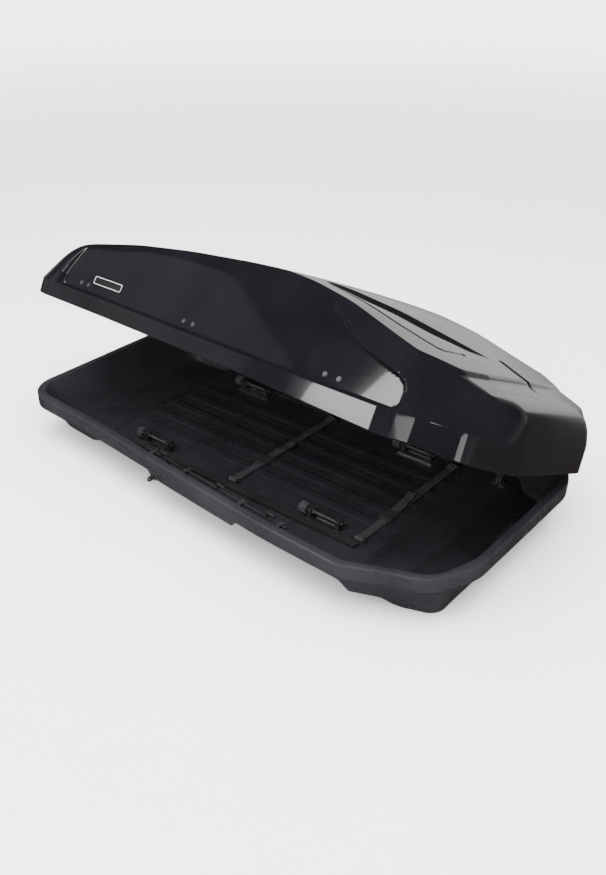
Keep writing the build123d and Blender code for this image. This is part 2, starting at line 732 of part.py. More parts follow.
with BuildPart() as strap_buckles:
    for x in STRAP_X:
        with BuildSketch(Plane.XZ.offset(-BUCKLE_Y - 20)):
            with Locations((x, 9.2)):
                RectangleRounded(35, 9.6, 2)
            with Locations((x, 8.3)):
                Rectangle(26, 2.2, mode=Mode.SUBTRACT)
        extrude(amount=40)
finish(strap_buckles, "strap_buckles")

# ---- rivets and badge on the lid's side panels ---------------------------------------------------
RIVET_Z = 27.0
RIVET_X = (-545, -516, -125, -91, 337, 376)


def panel_plane(x, z, side):
    """A plane on the side panel's face, facing out; side is -1 near and +1 far."""
    rise = (PANEL_HIGH[1] - PANEL_LOW[1]) / (PANEL_HIGH[0] - PANEL_LOW[0] + 8)
    inset = PANEL_LOW[1] + rise * (z - PANEL_LOW[0] + 8)
    inset += PANEL_SPREAD * (x + LENGTH / 2) / LENGTH * (PANEL_HIGH[0] - z) / 244
    slope = (half_width(x + 5) - half_width(x - 5) - PANEL_SPREAD * 10 / LENGTH) / 10
    along = Vector(1, side * slope, 0)
    out = Vector(-slope, side, rise)
    centre = Vector(x, side * (half_width(x) - inset), RIM_Z + z)
    return with_lid(Plane(origin=centre, x_dir=along, z_dir=out))


with BuildPart() as side_rivets:
    for side in (-1, 1):
        for x in RIVET_X:
            seat = panel_plane(x, RIVET_Z, side)
            for radius, low, high in ((2.4, -7, 1), (6, -0.3, 1.2), (4.2, 1.0, 2.4)):
                with BuildSketch(seat.offset(low)):
                    Circle(radius)
                extrude(amount=high - low)
finish(side_rivets, "side_rivets")

with BuildPart() as badge:
    with BuildSketch(panel_plane(-446, 46, -1).offset(-0.5)):
        RectangleRounded(112, 24, 6)
    extrude(amount=2)
finish(badge, "badge")
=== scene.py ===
"""Roof cargo box, lid half open, on a plain studio floor."""

import json
import math

import bmesh
import bpy
import numpy as np
from mathutils import Matrix, Vector


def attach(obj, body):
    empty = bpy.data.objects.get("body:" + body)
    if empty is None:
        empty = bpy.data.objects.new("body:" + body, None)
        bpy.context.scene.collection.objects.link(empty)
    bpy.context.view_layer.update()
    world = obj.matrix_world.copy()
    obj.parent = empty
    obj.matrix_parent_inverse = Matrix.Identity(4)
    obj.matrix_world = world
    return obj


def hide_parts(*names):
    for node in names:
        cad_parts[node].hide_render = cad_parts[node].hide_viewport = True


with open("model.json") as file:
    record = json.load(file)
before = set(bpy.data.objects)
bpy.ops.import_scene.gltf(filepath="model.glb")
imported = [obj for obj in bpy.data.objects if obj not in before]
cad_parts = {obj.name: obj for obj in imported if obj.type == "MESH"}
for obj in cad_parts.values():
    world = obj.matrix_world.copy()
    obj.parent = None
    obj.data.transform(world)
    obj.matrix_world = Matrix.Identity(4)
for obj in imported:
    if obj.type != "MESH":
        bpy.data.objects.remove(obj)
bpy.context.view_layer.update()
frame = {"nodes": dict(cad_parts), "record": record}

# ---- shape of the box, in millimetres ------------------------------------------------------------
LENGTH = 1480.0
# Half of the rim's plan outline, nose to tail: x, y and corner radius.
PLAN = [
    (-740, 335, 95), (-420, 351, 900), (-60, 389, 900), (250, 417, 900), (488, 425, 60),
    (590, 376, 90), (680, 343, 110), (740, 225, 150),
]
# The lid's side runs straight further back than the tray's: that corner in PLAN, and on the lid.
LID_BEND = ((488, 425), (526, 427))
RIM_Z = 88.0
HINGE_Y = 440.0
HINGE_Z = 52.0
REST_OPEN = math.radians(25)
SHEET = 4.0
POINT_STEP = 3.6  # spacing of mesh points round the outline
MIN_RADIUS = 22.0


def smoothstep(low, high, value):
    """Rises smoothly from 0 at low to 1 at high. It falls instead where high is below low."""
    share = np.clip((value - low) / (high - low), 0, 1)
    return share * share * (3 - 2 * share)


def smooth_min(a, b, blend):
    """The lower of two heights, rounded over where they cross."""
    share = np.clip(0.5 + 0.5 * (b - a) / blend, 0, 1)
    return b * (1 - share) + a * share - blend * share * (1 - share)


def smooth_max(a, b, blend):
    """The higher of two heights, rounded over where they cross."""
    return -smooth_min(-a, -b, blend)


def plan_corners(side, nose, tail, follow=False):
    """Corners of the outline moved inward. With follow, the corners before the tail move with it."""
    half = []
    for x, y, radius in PLAN:
        ends = nose if x < -700 else tail if x > 700 else 0.0
        if follow and 500 < x < 700:
            ends = 0.92 * max(tail - 45, 0) if x > 600 else 0.85 * max(tail - 110, 0)
        if follow and x == LID_BEND[0][0]:
            x, y = LID_BEND[1]
        x_in = x + ends if x < 0 else x - ends
        half.append((x_in, y - side, max(radius - side, MIN_RADIUS)))
    near = [(x, -y, r) for x, y, r in half]
    return near + half[::-1]


def bends_of(corners):
    """For each corner: where its arc starts and ends, the arc's centre and radius."""
    bends = []
    count = len(corners)
    for k in range(count):
        here = np.array(corners[k][:2])
        back = np.array(corners[k - 1][:2]) - here
        ahead = np.array(corners[(k + 1) % count][:2]) - here
        back_length, ahead_length = np.linalg.norm(back), np.linalg.norm(ahead)
        back, ahead = back / back_length, ahead / ahead_length
        half_angle = math.acos(np.clip(back @ ahead, -1, 1)) / 2
        reach = min(corners[k][2] / math.tan(half_angle), 0.45 * back_length, 0.45 * ahead_length)
        radius = reach * math.tan(half_angle)
        middle = (back + ahead) / np.linalg.norm(back + ahead)
        centre = here + middle * radius / math.sin(half_angle)
        bends.append((here + back * reach, here + ahead * reach, centre, radius))
    return bends


def arc_points(start, end, centre, count):
    """Points along the shorter arc, from its start up to but not including its end."""
    first = math.atan2(*(start - centre)[::-1])
    turn = math.atan2(*(end - centre)[::-1]) - first
    turn = (turn + math.pi) % (2 * math.pi) - math.pi
    angles = first + turn * np.arange(count) / count
    radius = np.linalg.norm(start - centre)
    return centre + radius * np.stack([np.cos(angles), np.sin(angles)], 1)


base_bends = bends_of(plan_corners(0, 0, 0))
POINT_COUNTS = []
for k, (start, end, centre, radius) in enumerate(base_bends):
    next_start = base_bends[(k + 1) % len(base_bends)][0]
    arc = max(4, int(1.2 * np.linalg.norm(end - start) / POINT_STEP) + 3)
    straight = max(2, int(np.linalg.norm(next_start - end) / POINT_STEP))
    POINT_COUNTS.append((arc, straight))


def ring(side, nose, tail, follow=False):
    """Points round the outline moved inward, with the same number of points for every inset."""
    bends = bends_of(plan_corners(side, nose, tail, follow))
    points = []
    for k, (start, end, centre, radius) in enumerate(bends):
        arc, straight = POINT_COUNTS[k]
        points.append(arc_points(start, end, centre, arc))
        next_start = bends[(k + 1) % len(bends)][0]
        share = np.arange(straight)[:, None] / straight
        points.append(end + (next_start - end) * share)
    return np.concatenate(points)


def inward(points):
    """Unit vectors that point into the outline at each of its points."""
    along = np.roll(points, -1, 0) - np.roll(points, 1, 0)
    along /= np.linalg.norm(along, axis=1)[:, None]
    return np.stack([-along[:, 1], along[:, 0]], 1)


def smooth_curve(stations, spread):
    """A function through (position, height) stations with its corners rounded off."""
    grid = np.arange(-1000.0, 1001.0)
    heights = np.interp(grid, *zip(*stations))
    reach = int(3 * spread)
    kernel = np.exp(-0.5 * (np.arange(-reach, reach + 1) / spread) ** 2)
    padded = np.pad(heights, reach, mode="edge")
    heights = np.convolve(padded, kernel / kernel.sum(), "valid")
    return lambda x: np.interp(x, grid, heights)


def polygon_distance(x, z, corners):
    """Distance of each point from a polygon's edge, negative inside it."""
    nearest = np.full(np.shape(x), 1e9)
    inside = np.zeros(np.shape(x), bool)
    for (x0, z0), (x1, z1) in zip(corners, corners[1:] + corners[:1]):
        dx, dz = x1 - x0, z1 - z0
        share = np.clip(((x - x0) * dx + (z - z0) * dz) / (dx * dx + dz * dz), 0, 1)
        nearest = np.minimum(nearest, np.hypot(x - x0 - share * dx, z - z0 - share * dz))
        if dz:
            crossing = ((z0 > z) != (z1 > z)) & (x < dx * (z - z0) / dz + x0)
            inside ^= crossing
    return np.where(inside, -nearest, nearest)


def open_lid(points):
    """Turns points of the shut lid about the hinge line, to where the lid rests."""
    y = points[..., 1] - HINGE_Y
    z = points[..., 2] - HINGE_Z
    turned = points.copy()
    turned[..., 1] = HINGE_Y + y * math.cos(REST_OPEN) + z * math.sin(REST_OPEN)
    turned[..., 2] = HINGE_Z - y * math.sin(REST_OPEN) + z * math.cos(REST_OPEN)
    return turned


def skin(name, rows, body, materials, row_material=None, closed=False):
    """A smooth mesh from rings of points, row after row."""
    count = rows.shape[1]
    mesh = bpy.data.meshes.new(name)
    faces = []
    material_of = []
    last = len(rows) if closed else len(rows) - 1
    for r in range(last):
        low, high = r * count, ((r + 1) % len(rows)) * count
        for c in range(count):
            after = (c + 1) % count
            faces.append((low + c, low + after, high + after, high + c))
        material_of += [row_material(r) if row_material else 0] * count
    mesh.from_pydata((rows.reshape(-1, 3) / 1000).tolist(), [], faces)
    for material in materials:
        mesh.materials.append(material)
    mesh.polygons.foreach_set("material_index", material_of)
    work = bmesh.new()
    work.from_mesh(mesh)
    bmesh.ops.remove_doubles(work, verts=work.verts, dist=0.00005)
    bmesh.ops.recalc_face_normals(work, faces=work.faces)
    for face in work.faces:
        face.smooth = True
    work.to_mesh(mesh)
    work.free()
    piece = bpy.data.objects.new(name, mesh)
    bpy.context.scene.collection.objects.link(piece)
    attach(piece, body)
    return piece


# ---- materials -------------------------------------------------------------------------------------
def surface(
    name, color, rough, metallic=0.0, coat=0.0, grain=400.0, bump=0.02, vary=0.25, rough_vary=0.06,
    weave=0.0,
):
    """A principled material whose colour, roughness and relief all vary with noise."""
    material = bpy.data.materials.new(name)
    material.use_nodes = True
    nodes, links = material.node_tree.nodes, material.node_tree.links
    shader = nodes["Principled BSDF"]
    place = nodes.new("ShaderNodeTexCoord")
    broad = nodes.new("ShaderNodeTexNoise")
    broad.inputs["Scale"].default_value = 7.0
    broad.inputs["Detail"].default_value = 5.0
    links.new(place.outputs["Object"], broad.inputs["Vector"])
    ramp = nodes.new("ShaderNodeValToRGB")
    ramp.color_ramp.elements[0].position = 0.3
    ramp.color_ramp.elements[1].position = 0.75
    ramp.color_ramp.elements[0].color = (*[c * (1 - vary) for c in color], 1)
    ramp.color_ramp.elements[1].color = (*[min(1, c * (1 + vary)) for c in color], 1)
    links.new(broad.outputs["Fac"], ramp.inputs["Fac"])
    links.new(ramp.outputs["Color"], shader.inputs["Base Color"])
    spread = nodes.new("ShaderNodeMapRange")
    spread.inputs["To Min"].default_value = max(0.02, rough - rough_vary)
    spread.inputs["To Max"].default_value = rough + rough_vary
    links.new(broad.outputs["Fac"], spread.inputs["Value"])
    links.new(spread.outputs["Result"], shader.inputs["Roughness"])
    fine = nodes.new("ShaderNodeTexNoise")
    fine.inputs["Scale"].default_value = grain
    fine.inputs["Detail"].default_value = 3.0
    links.new(place.outputs["Object"], fine.inputs["Vector"])
    relief = nodes.new("ShaderNodeBump")
    relief.inputs["Strength"].default_value = bump
    relief.inputs["Distance"].default_value = 0.001
    links.new(fine.outputs["Fac"], relief.inputs["Height"])
    links.new(relief.outputs["Normal"], shader.inputs["Normal"])
    if weave:
        ribs = nodes.new("ShaderNodeTexWave")
        ribs.bands_direction = "DIAGONAL"
        ribs.inputs["Scale"].default_value = weave
        ribs.inputs["Distortion"].default_value = 0.6
        links.new(place.outputs["Object"], ribs.inputs["Vector"])
        woven = nodes.new("ShaderNodeBump")
        woven.inputs["Strength"].default_value = 0.6
        woven.inputs["Distance"].default_value = 0.0006
        links.new(ribs.outputs["Fac"], woven.inputs["Height"])
        links.new(relief.outputs["Normal"], woven.inputs["Normal"])
        links.new(woven.outputs["Normal"], shader.inputs["Normal"])
    shader.inputs["Metallic"].default_value = metallic
    shader.inputs["Coat Weight"].default_value = coat
    shader.inputs["Coat Roughness"].default_value = 0.03
    return material


MATERIALS = {
    "lid_gloss": surface("lid_gloss", (0.004, 0.004, 0.005), 0.10, coat=1.0, bump=0.004, rough_vary=0.03),
    "lid_inside": surface("lid_inside", (0.014, 0.014, 0.015), 0.42, bump=0.25, grain=900),
    # Tray: its own satin black, lifted a little and tinted blue all over as a painted bluish sheen.
    "tray_satin": surface("tray_satin", (0.017, 0.0172, 0.020), 0.28, bump=0.16, grain=1500),
    "zinc_steel": surface("zinc_steel", (0.55, 0.56, 0.57), 0.34, metallic=1.0, bump=0.08),
    "black_steel": surface("black_steel", (0.02, 0.02, 0.021), 0.40, metallic=0.3, bump=0.10, grain=1200),
    "black_plastic": surface("black_plastic", (0.02, 0.02, 0.021), 0.44, bump=0.15, grain=1200),
    "aluminium": surface("aluminium", (0.60, 0.60, 0.62), 0.30, metallic=1.0, bump=0.06),
    "webbing": surface("webbing", (0.034, 0.034, 0.037), 0.85, bump=0.3, grain=2500, weave=420.0),
    "rivet_black": surface("rivet_black", (0.16, 0.16, 0.17), 0.22, metallic=0.8, bump=0.03),
    "badge_face": surface("badge_face", (0.008, 0.008, 0.009), 0.35, bump=0.02),
    "badge_edge": surface("badge_edge", (0.66, 0.67, 0.69), 0.35, bump=0.02, vary=0.08),
    "chrome": surface("chrome", (0.72, 0.72, 0.74), 0.14, metallic=1.0, bump=0.02, rough_vary=0.04),
    "knob_plastic": surface("knob_plastic", (0.03, 0.03, 0.032), 0.40, bump=0.12, grain=1200),
    "floor": surface("floor", (0.90, 0.90, 0.895), 0.75, bump=0.02, vary=0.012),
}

slot_of = {entry["node"]: entry["material_slot"] for entry in frame["record"]["subparts"]}
for node, piece in frame["nodes"].items():
    piece.data.materials.clear()
    piece.data.materials.append(MATERIALS[slot_of[node]])
    edge = piece.modifiers.new("soft_edges", "BEVEL")
    edge.width = 0.0005
    edge.segments = 2
    edge.limit_method = "ANGLE"
    edge.angle_limit = math.radians(40)
    edge.harden_normals = True

# ---- lid skin ----------------------------------------------------------------------------------
roof = smooth_curve(
    [(-900, 38), (-571, 135), (-402, 168), (-211, 192), (0, 210), (110, 216), (200, 211),
     (317, 193), (476, 151), (634, 113), (700, 98), (900, 50)], 22,
)
recess_depth = smooth_curve([(130, 0), (190, 6), (300, 8), (400, 7), (470, 4), (515, 0)], 8)
recess_far_edge = smooth_curve(
    [(150, -195), (268, -141), (360, -84), (435, -22), (501, 28), (600, 80)], 8,
)
# Pressed creases in the roof: path, half width and depth.
CREASES = [
    ([(165, -256), (306, -270), (407, -262), (500, -240), (513, -225), (515, -130)], 8.0, 2.2),
    ([(668, -280), (674, -40)], 8.0, 2.0),
    ([(512, 105), (560, 78), (640, 40)], 16.0, 3.6),
]
tail_inset = smooth_curve(
    [(-200, -18), (-36, -17), (10, -12), (30, -8), (48, -2), (64, 7), (78, 18), (90, 33), (104, 62),
     (125, 120), (400, 240)], 3,
)
PANEL = [
    (-622, 8), (524, 8), (535, 12), (541, 21), (541, 50), (534, 65), (519, 76), (400, 108), (298, 172),
    (238, 280), (-500, 280), (-566, 172), (-600, 96), (-615, 61), (-622, 37),
]
# The panel's face: how far in from the flank's line at its foot, how it leans in, and how
# much deeper it lies at the tail. Its side line runs straight past the tail's bend.
PANEL_INSET = 6
PANEL_LEAN = 0.284
PANEL_TAIL_DEPTH = 16
PANEL_LINE = ((-740, -420, -60, 250, 600), (335, 351, 389, 417, 428.8))
SHOULDER_BLEND = 42.0  # rounding between the flank and the roof
ROOF_ROWS = 120
ROOF_SPINE = (-480, 560)  # the roof's rows close in on this stretch of the middle line
SKIRT_LOW = -36.0


def side_inset(z):
    """Inset of the lid's flank at a height above the rim. The skirt is steeper than the flank."""
    return np.where(z < 6, -8 + 1.6 * (z - SKIRT_LOW) / 42, -6.4 + 0.360 * (z - 6))


def nose_inset(z):
    """The same at the nose, which leans back further."""
    return np.where(z < 6, -8 + 1.8 * (z - SKIRT_LOW) / 42, -6.2 + 0.746 * (z - 6))


def panel_depth(outline, z):
    """How far the side panel is pressed in. Its face runs on straight where the side bends away."""
    x = outline[:, 0]
    rise = PANEL_TAIL_DEPTH * np.clip((x + 740) / LENGTH, 0, 1) * (240 - z) / 240
    straight = np.interp(x, *PANEL_LINE)
    depth = np.abs(outline[:, 1]) - (straight - PANEL_INSET - PANEL_LEAN * (z + 4) - rise)
    width = 1.8 + 3.2 * smoothstep(12, 45, z)
    return np.maximum(depth, 0) * smoothstep(width, -width, polygon_distance(x, z, PANEL))


def path_distance(x, y, path):
    """Distance of each point from an open path."""
    nearest = np.full(np.shape(x), 1e9)
    for (x0, y0), (x1, y1) in zip(path, path[1:]):
        dx, dy = x1 - x0, y1 - y0
        share = np.clip(((x - x0) * dx + (y - y0) * dy) / (dx * dx + dy * dy), 0, 1)
        nearest = np.minimum(nearest, np.hypot(x - x0 - share * dx, y - y0 - share * dy))
    return nearest


def lid_height(x, y):
    """The roof: a crown, a recess that deepens to its far edge, and shallow pressed creases."""
    crown = roof(x) + 4 * (1 - (y / 320) ** 2)
    far_edge = recess_far_edge(x)
    slope = np.clip((y + 262) / (far_edge + 262), 0, 1)
    before_edge = smoothstep(far_edge + 5, far_edge - 5, y)
    height = crown - recess_depth(x) * slope * before_edge
    for path, width, deep in CREASES:
        height = height - deep * smoothstep(width, 1.0, path_distance(x, y, path))
    return height


def skirt_drop(outline):
    """How much deeper the skirt hangs towards the tail, away from the hinges."""
    drop = np.interp(outline[:, 0], (100, 400, 600, 740), (0, 9, 15, 25))
    return drop * smoothstep(330, 230, outline[:, 1])


def lid_row(z):
    """One row of points round the lid, lowered to the roof where the roof is lower than z."""
    outline = ring(float(side_inset(z)), float(nose_inset(z)), float(tail_inset(z)), follow=True)
    depth = panel_depth(outline, np.full(len(outline), z))
    moved = outline.copy()
    moved[:, 1] -= np.sign(outline[:, 1]) * depth
    height = smooth_min(np.full(len(moved), z), lid_height(moved[:, 0], moved[:, 1]), SHOULDER_BLEND)
    height = height - skirt_drop(outline) * np.clip(-z / -SKIRT_LOW, 0, 1)
    return np.column_stack([moved, RIM_Z + height])


lid_levels = np.concatenate([
    [SKIRT_LOW, SKIRT_LOW + 1.5], np.linspace(-32, 0, 9), np.linspace(1, 12, 12),
    np.linspace(15, 130, 39), np.linspace(133, 262, 44),
])
lid_rows = [lid_row(z) for z in lid_levels]
edge_row = lid_rows[-1]
spine = np.column_stack([np.clip(edge_row[:, 0], *ROOF_SPINE), np.zeros(len(edge_row))])
for share in np.linspace(0, 1, ROOF_ROWS)[1:]:
    flat = edge_row[:, :2] * (1 - share) + spine * share
    lifted = RIM_Z + smooth_min(
        np.full(len(flat), lid_levels[-1] + 400 * share), lid_height(flat[:, 0], flat[:, 1]), SHOULDER_BLEND
    )
    lid_rows.append(np.column_stack([flat, lifted]))
lid_outer = np.array(lid_rows)


def grid_normals(rows):
    """Outward unit vectors at every point of a grid of rows."""
    along = np.roll(rows, -1, 1) - np.roll(rows, 1, 1)
    up = np.gradient(rows, axis=0)
    normal = np.cross(along, up)
    length = np.linalg.norm(normal, axis=2, keepdims=True)
    return normal / np.maximum(length, 1e-9)


lid_normal = grid_normals(lid_outer)
lid_normal[-6:] = (0, 0, 1)
lid_inner = (lid_outer - SHEET * lid_normal)[::-2]
lid_inner[-1, :, 2] = lid_outer[0, :, 2]
all_rows = open_lid(np.concatenate([lid_inner, lid_outer]))
inner_count = len(lid_inner)
lid_skin = skin(
    "lid_skin", all_rows, "lid", [MATERIALS["lid_gloss"], MATERIALS["lid_inside"]],
    row_material=lambda r: 1 if r < inner_count - 1 else 0,
)
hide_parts("lid_shell")

# ---- tray skin ---------------------------------------------------------------------------------
UNDERSIDE = [
    (-800, 40), (-655, -12), (-635, -20), (-500, -20), (-455, 0), (462, 0), (486, -24), (556, -28),
    (580, -46), (598, -52), (690, -52), (800, 8),
]
underside = smooth_curve(UNDERSIDE, 4)
# The wall below the rim leans inward: inset at its top, and how much more at its foot.
SIDE_LEAN = (20, 42)
NOSE_LEAN = (20, 98)
TAIL_LEAN = (10, 52)
WALL_TOP = 86
WALL_HEIGHT = 144
# The channel up the middle of the tail.
NOTCH_HALF_WIDTH = 38.0
NOTCH_DEPTH = 26
NOTCH_TOP = 44
# Ribs pressed up from the floor.
RIB_PITCH = 68
RIB_HEIGHT = 2.6
FLOOR_SPINE = (-480, 500)  # the floor's rows close in on this stretch of the middle line
LIP_LOW = 48.0
LOCK_LIP_LOW = 32.0
LOCK_LIP = (-170.0, 160.0)


def tray_outline(z, gauge):
    """The body's wall at a height, moved inward by the sheet's thickness or not."""
    drop = (WALL_TOP - z) / WALL_HEIGHT
    outline = ring(*[top + more * drop + gauge for top, more in (SIDE_LEAN, NOSE_LEAN, TAIL_LEAN)])
    wide = NOTCH_HALF_WIDTH + gauge
    mask = smoothstep(wide + 3, wide - 3, np.abs(outline[:, 1])) * (outline[:, 0] > 560)
    low = smoothstep(NOTCH_TOP + 2 + gauge, NOTCH_TOP - 2 + gauge, z)
    return outline + inward(outline) * (NOTCH_DEPTH * mask * low)[:, None]


def tray_row(z, gauge, blend):
    """One row of points round the wall, raised to the underside where that is higher than z."""
    outline = tray_outline(z, gauge)
    height = smooth_max(np.full(len(outline), z), underside(outline[:, 0]) + gauge, blend)
    return np.column_stack([outline, height])


def to_spine(row, gauge, steps):
    """Rows that carry on from the foot of a wall, across the floor to its middle line."""
    target = np.column_stack([np.clip(row[:, 0], *FLOOR_SPINE), np.zeros(len(row))])
    rows = []
    for share in np.linspace(0, 1, steps)[1:]:
        flat = row[:, :2] * (1 - share) + target * share
        floor = underside(flat[:, 0]) + gauge
        if gauge:
            ribs = 0.5 + 0.5 * np.cos(flat[:, 1] * 2 * math.pi / RIB_PITCH)
            reach = smoothstep(175, 160, np.abs(flat[:, 1]))
            reach = reach * smoothstep(470, 450, np.abs(flat[:, 0] + 20))
            floor = floor + RIB_HEIGHT * smoothstep(0.45, 0.75, ribs) * reach
        rows.append(np.column_stack([flat, floor]))
    return rows


def level_row(inset, z):
    """One row of points round the rim, at one inset and at a height for all or for each point."""
    outline = ring(inset, inset, inset)
    return np.column_stack([outline, np.broadcast_to(z, len(outline))])


wall_levels = np.concatenate([np.linspace(84, 60, 7), np.linspace(56, -56, 38)])
inner_rows = [tray_row(z, SHEET, 16.0) for z in wall_levels]
inner_rows += to_spine(inner_rows[-1], SHEET, 70)
tray_rows = inner_rows[::-1]
# Over the rolled rim, from its inner edge outward: inset and height.
RIM_SECTION = [
    (23.6, 86.2), (22.6, 87.5), (21, 88), (15, 88), (8, 88), (4.5, 87.8), (2.4, 86.9), (0.9, 85.2),
    (0.2, 82.8),
]
for inset, z in RIM_SECTION:
    tray_rows.append(level_row(inset, z))
rim = ring(0, 0, 0)
near_lock = smoothstep(LOCK_LIP[0] - 9, LOCK_LIP[0] + 9, rim[:, 0])
near_lock *= smoothstep(LOCK_LIP[1] + 9, LOCK_LIP[1] - 9, rim[:, 0]) * (rim[:, 1] < 0)
lip_low = LIP_LOW - (LIP_LOW - LOCK_LIP_LOW) * near_lock
for share in np.linspace(0, 1, 9):
    tray_rows.append(level_row(0, 80 + (lip_low + 1.5 - 80) * share))
for inset, rise in ((0.5, 0.5), (1.4, 0.0), (2.6, 0.0), (3.5, 0.5), (4, 1.5)):
    tray_rows.append(level_row(inset, lip_low + rise))
for inset, z in ((4, 66), (4.2, 80), (6, 83), (12, 84), (19, 83.5)):
    tray_rows.append(level_row(inset, z))
outer_rows = [tray_row(z, 0, 16.0) for z in np.linspace(80, -64, 50)]
outer_rows += to_spine(outer_rows[-1], 0, 40)
tray_rows += outer_rows
tray_skin = skin("tray_skin", np.array(tray_rows), "base", [MATERIALS["tray_satin"]])
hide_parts("base_tray")

# ---- webbing -----------------------------------------------------------------------------------
STRAP_X = (-10.0, 410.0)
STRAP_END = 224.0
STRAP_WIDTH = 25.0
STRAP_THICKNESS = 1.6
BUCKLE_Y = -90.0


def rounded_path(points, steps=14):
    """A smooth path through the points, by Catmull-Rom."""
    points = np.array(points, float)
    ends = np.vstack([2 * points[0] - points[1], points, 2 * points[-1] - points[-2]])
    share = np.linspace(0, 1, steps, endpoint=False)[:, None]
    pieces = []
    for p0, p1, p2, p3 in zip(ends, ends[1:], ends[2:], ends[3:]):
        pieces.append(0.5 * (
            2 * p1 + (p2 - p0) * share + (2 * p0 - 5 * p1 + 4 * p2 - p3) * share ** 2
            + (3 * p1 - p0 - 3 * p2 + p3) * share ** 3
        ))
    return np.vstack(pieces + [points[-1:]])


def ribbon(path, width, thickness):
    """Vertices and faces of a flat band along a path of (x, y, z), cupped a little across."""
    along = np.gradient(path, axis=0)
    along /= np.linalg.norm(along, axis=1)[:, None]
    across = np.array([1.0, 0, 0]) - along[:, :1] * along
    across /= np.linalg.norm(across, axis=1)[:, None]
    face_out = np.cross(along, across)
    places = np.linspace(-0.5, 0.5, 9)
    section = [(p, 0.5) for p in places] + [(p, -0.5) for p in places[::-1]]
    rows = []
    for p, side in section:
        edge = 1 - 0.55 * (abs(p) > 0.49)
        cup = 0.35 * (1 - (2 * p) ** 2)
        rows.append(path + across * p * width + face_out * (side * thickness * edge + cup))
    grid = np.stack(rows, 1)
    count = grid.shape[1]
    faces = []
    for r in range(len(grid) - 1):
        for c in range(count):
            after = (c + 1) % count
            faces.append((r * count + c, r * count + after, (r + 1) * count + after, (r + 1) * count + c))
    faces.append(tuple(range(count)))
    faces.append(tuple(range((len(grid) - 1) * count, len(grid) * count))[::-1])
    return grid.reshape(-1, 3), faces


def strap_paths(x, turn):
    """The band from anchor to anchor with a loop sewn round each bar, and the loose end."""
    end = STRAP_END
    loop = [(x, -end + 46, 6.9), (x, -end + 22, 7.1), (x, -end + 5, 6.9), (x, -end - 3.4, 8.4),
            (x, -end - 4.2, 11.2), (x, -end - 1.6, 14.4), (x, -end + 4, 14.9), (x, -end + 18, 11.2)]
    middle = [(x, -end + 34, 9.0), (x, BUCKLE_Y - 20, 8.6), (x, BUCKLE_Y, 8.3), (x, BUCKLE_Y + 20, 8.5),
              (x + turn, -20, 9.4), (x - turn, 50, 8.6), (x, 110, 9.3)]
    far = [(px, -py, pz) for px, py, pz in reversed(loop)]
    band = loop + middle + [(x, end - 34, 9.0)] + far
    loose = [(x, BUCKLE_Y + 14, 10.2), (x, BUCKLE_Y + 26, 11.2), (x + turn, BUCKLE_Y + 48, 11.6),
             (x + 3 * turn, BUCKLE_Y + 74, 13.4), (x + 5 * turn, BUCKLE_Y + 96, 12.4),
             (x + 8 * turn, BUCKLE_Y + 118, 16.2)]
    return band, loose


strap_points, strap_faces = [], []
for strap_x, turn in zip(STRAP_X, (0.9, -1.1)):
    for path in strap_paths(strap_x, turn):
        points, faces = ribbon(rounded_path(path), STRAP_WIDTH - 1, STRAP_THICKNESS)
        first = sum(len(p) for p in strap_points)
        strap_points.append(points)
        strap_faces += [tuple(first + i for i in face) for face in faces]
strap_mesh = bpy.data.meshes.new("straps")
strap_mesh.from_pydata((np.vstack(strap_points) / 1000).tolist(), [], strap_faces)
strap_mesh.materials.append(MATERIALS["webbing"])
strap_mesh.polygons.foreach_set("use_smooth", [True] * len(strap_mesh.polygons))
straps = bpy.data.objects.new("straps", strap_mesh)
bpy.context.scene.collection.objects.link(straps)
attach(straps, "base")
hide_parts("strap_webbing")

# ---- pale line round the badge ---------------------------------------------------------------------
badge = frame["nodes"]["badge"]
corners = np.array([(badge.matrix_world @ v.co)[:] for v in badge.data.vertices]) * 1000
middle = (corners.max(0) + corners.min(0)) / 2
spread, axes = np.linalg.eigh(np.cov((corners - corners.mean(0)).T))
long_way, short_way, out_way = axes[:, 2], axes[:, 1], axes[:, 0]
if out_way[1] > 0:
    out_way = -out_way
half_long, half_short, half_thick = [
    np.ptp(corners @ way) / 2 for way in (long_way, short_way, out_way)
]
LINE_WIDTH = 1.1
LINE_INSET = 1.6
LINE_LIFT = 0.25
BADGE_CORNER = 6  # the radius of the plate's corners
line_outer, line_inner = LINE_INSET, LINE_INSET + LINE_WIDTH
line_rows = []
for inset, lift in (
    (line_outer, -0.2), (line_outer, LINE_LIFT), (line_inner, LINE_LIFT), (line_inner, -0.2)
):
    angles = np.linspace(0, 2 * math.pi, 96, endpoint=False)
    radius = BADGE_CORNER - inset
    reach_x = np.sign(np.cos(angles)) * (half_long - BADGE_CORNER) + radius * np.cos(angles)
    reach_y = np.sign(np.sin(angles)) * (half_short - BADGE_CORNER) + radius * np.sin(angles)
    flat_line = middle + np.outer(reach_x, long_way) + np.outer(reach_y, short_way)
    line_rows.append(flat_line + (half_thick + lift) * out_way)
badge_line = skin("badge_line", np.array(line_rows), "lid", [MATERIALS["badge_edge"]], closed=True)

# ---- studio ------------------------------------------------------------------------------------
FLOOR_Z = -0.0535


def darker_in_reflections(shader_out, tree, color, strength):
    """Mixes in a dark shade that only mirror-like reflections see, so that gloss black stays black."""
    path = tree.nodes.new("ShaderNodeLightPath")
    dark = tree.nodes.new("ShaderNodeBackground" if strength else "ShaderNodeEmission")
    dark.inputs["Color"].default_value = (*color, 1)
    dark.inputs["Strength"].default_value = strength or 1.0
    mix = tree.nodes.new("ShaderNodeMixShader")
    tree.links.new(path.outputs["Is Glossy Ray"], mix.inputs["Fac"])
    tree.links.new(shader_out, mix.inputs[1])
    tree.links.new(dark.outputs[0], mix.inputs[2])
    return mix.outputs["Shader"], dark


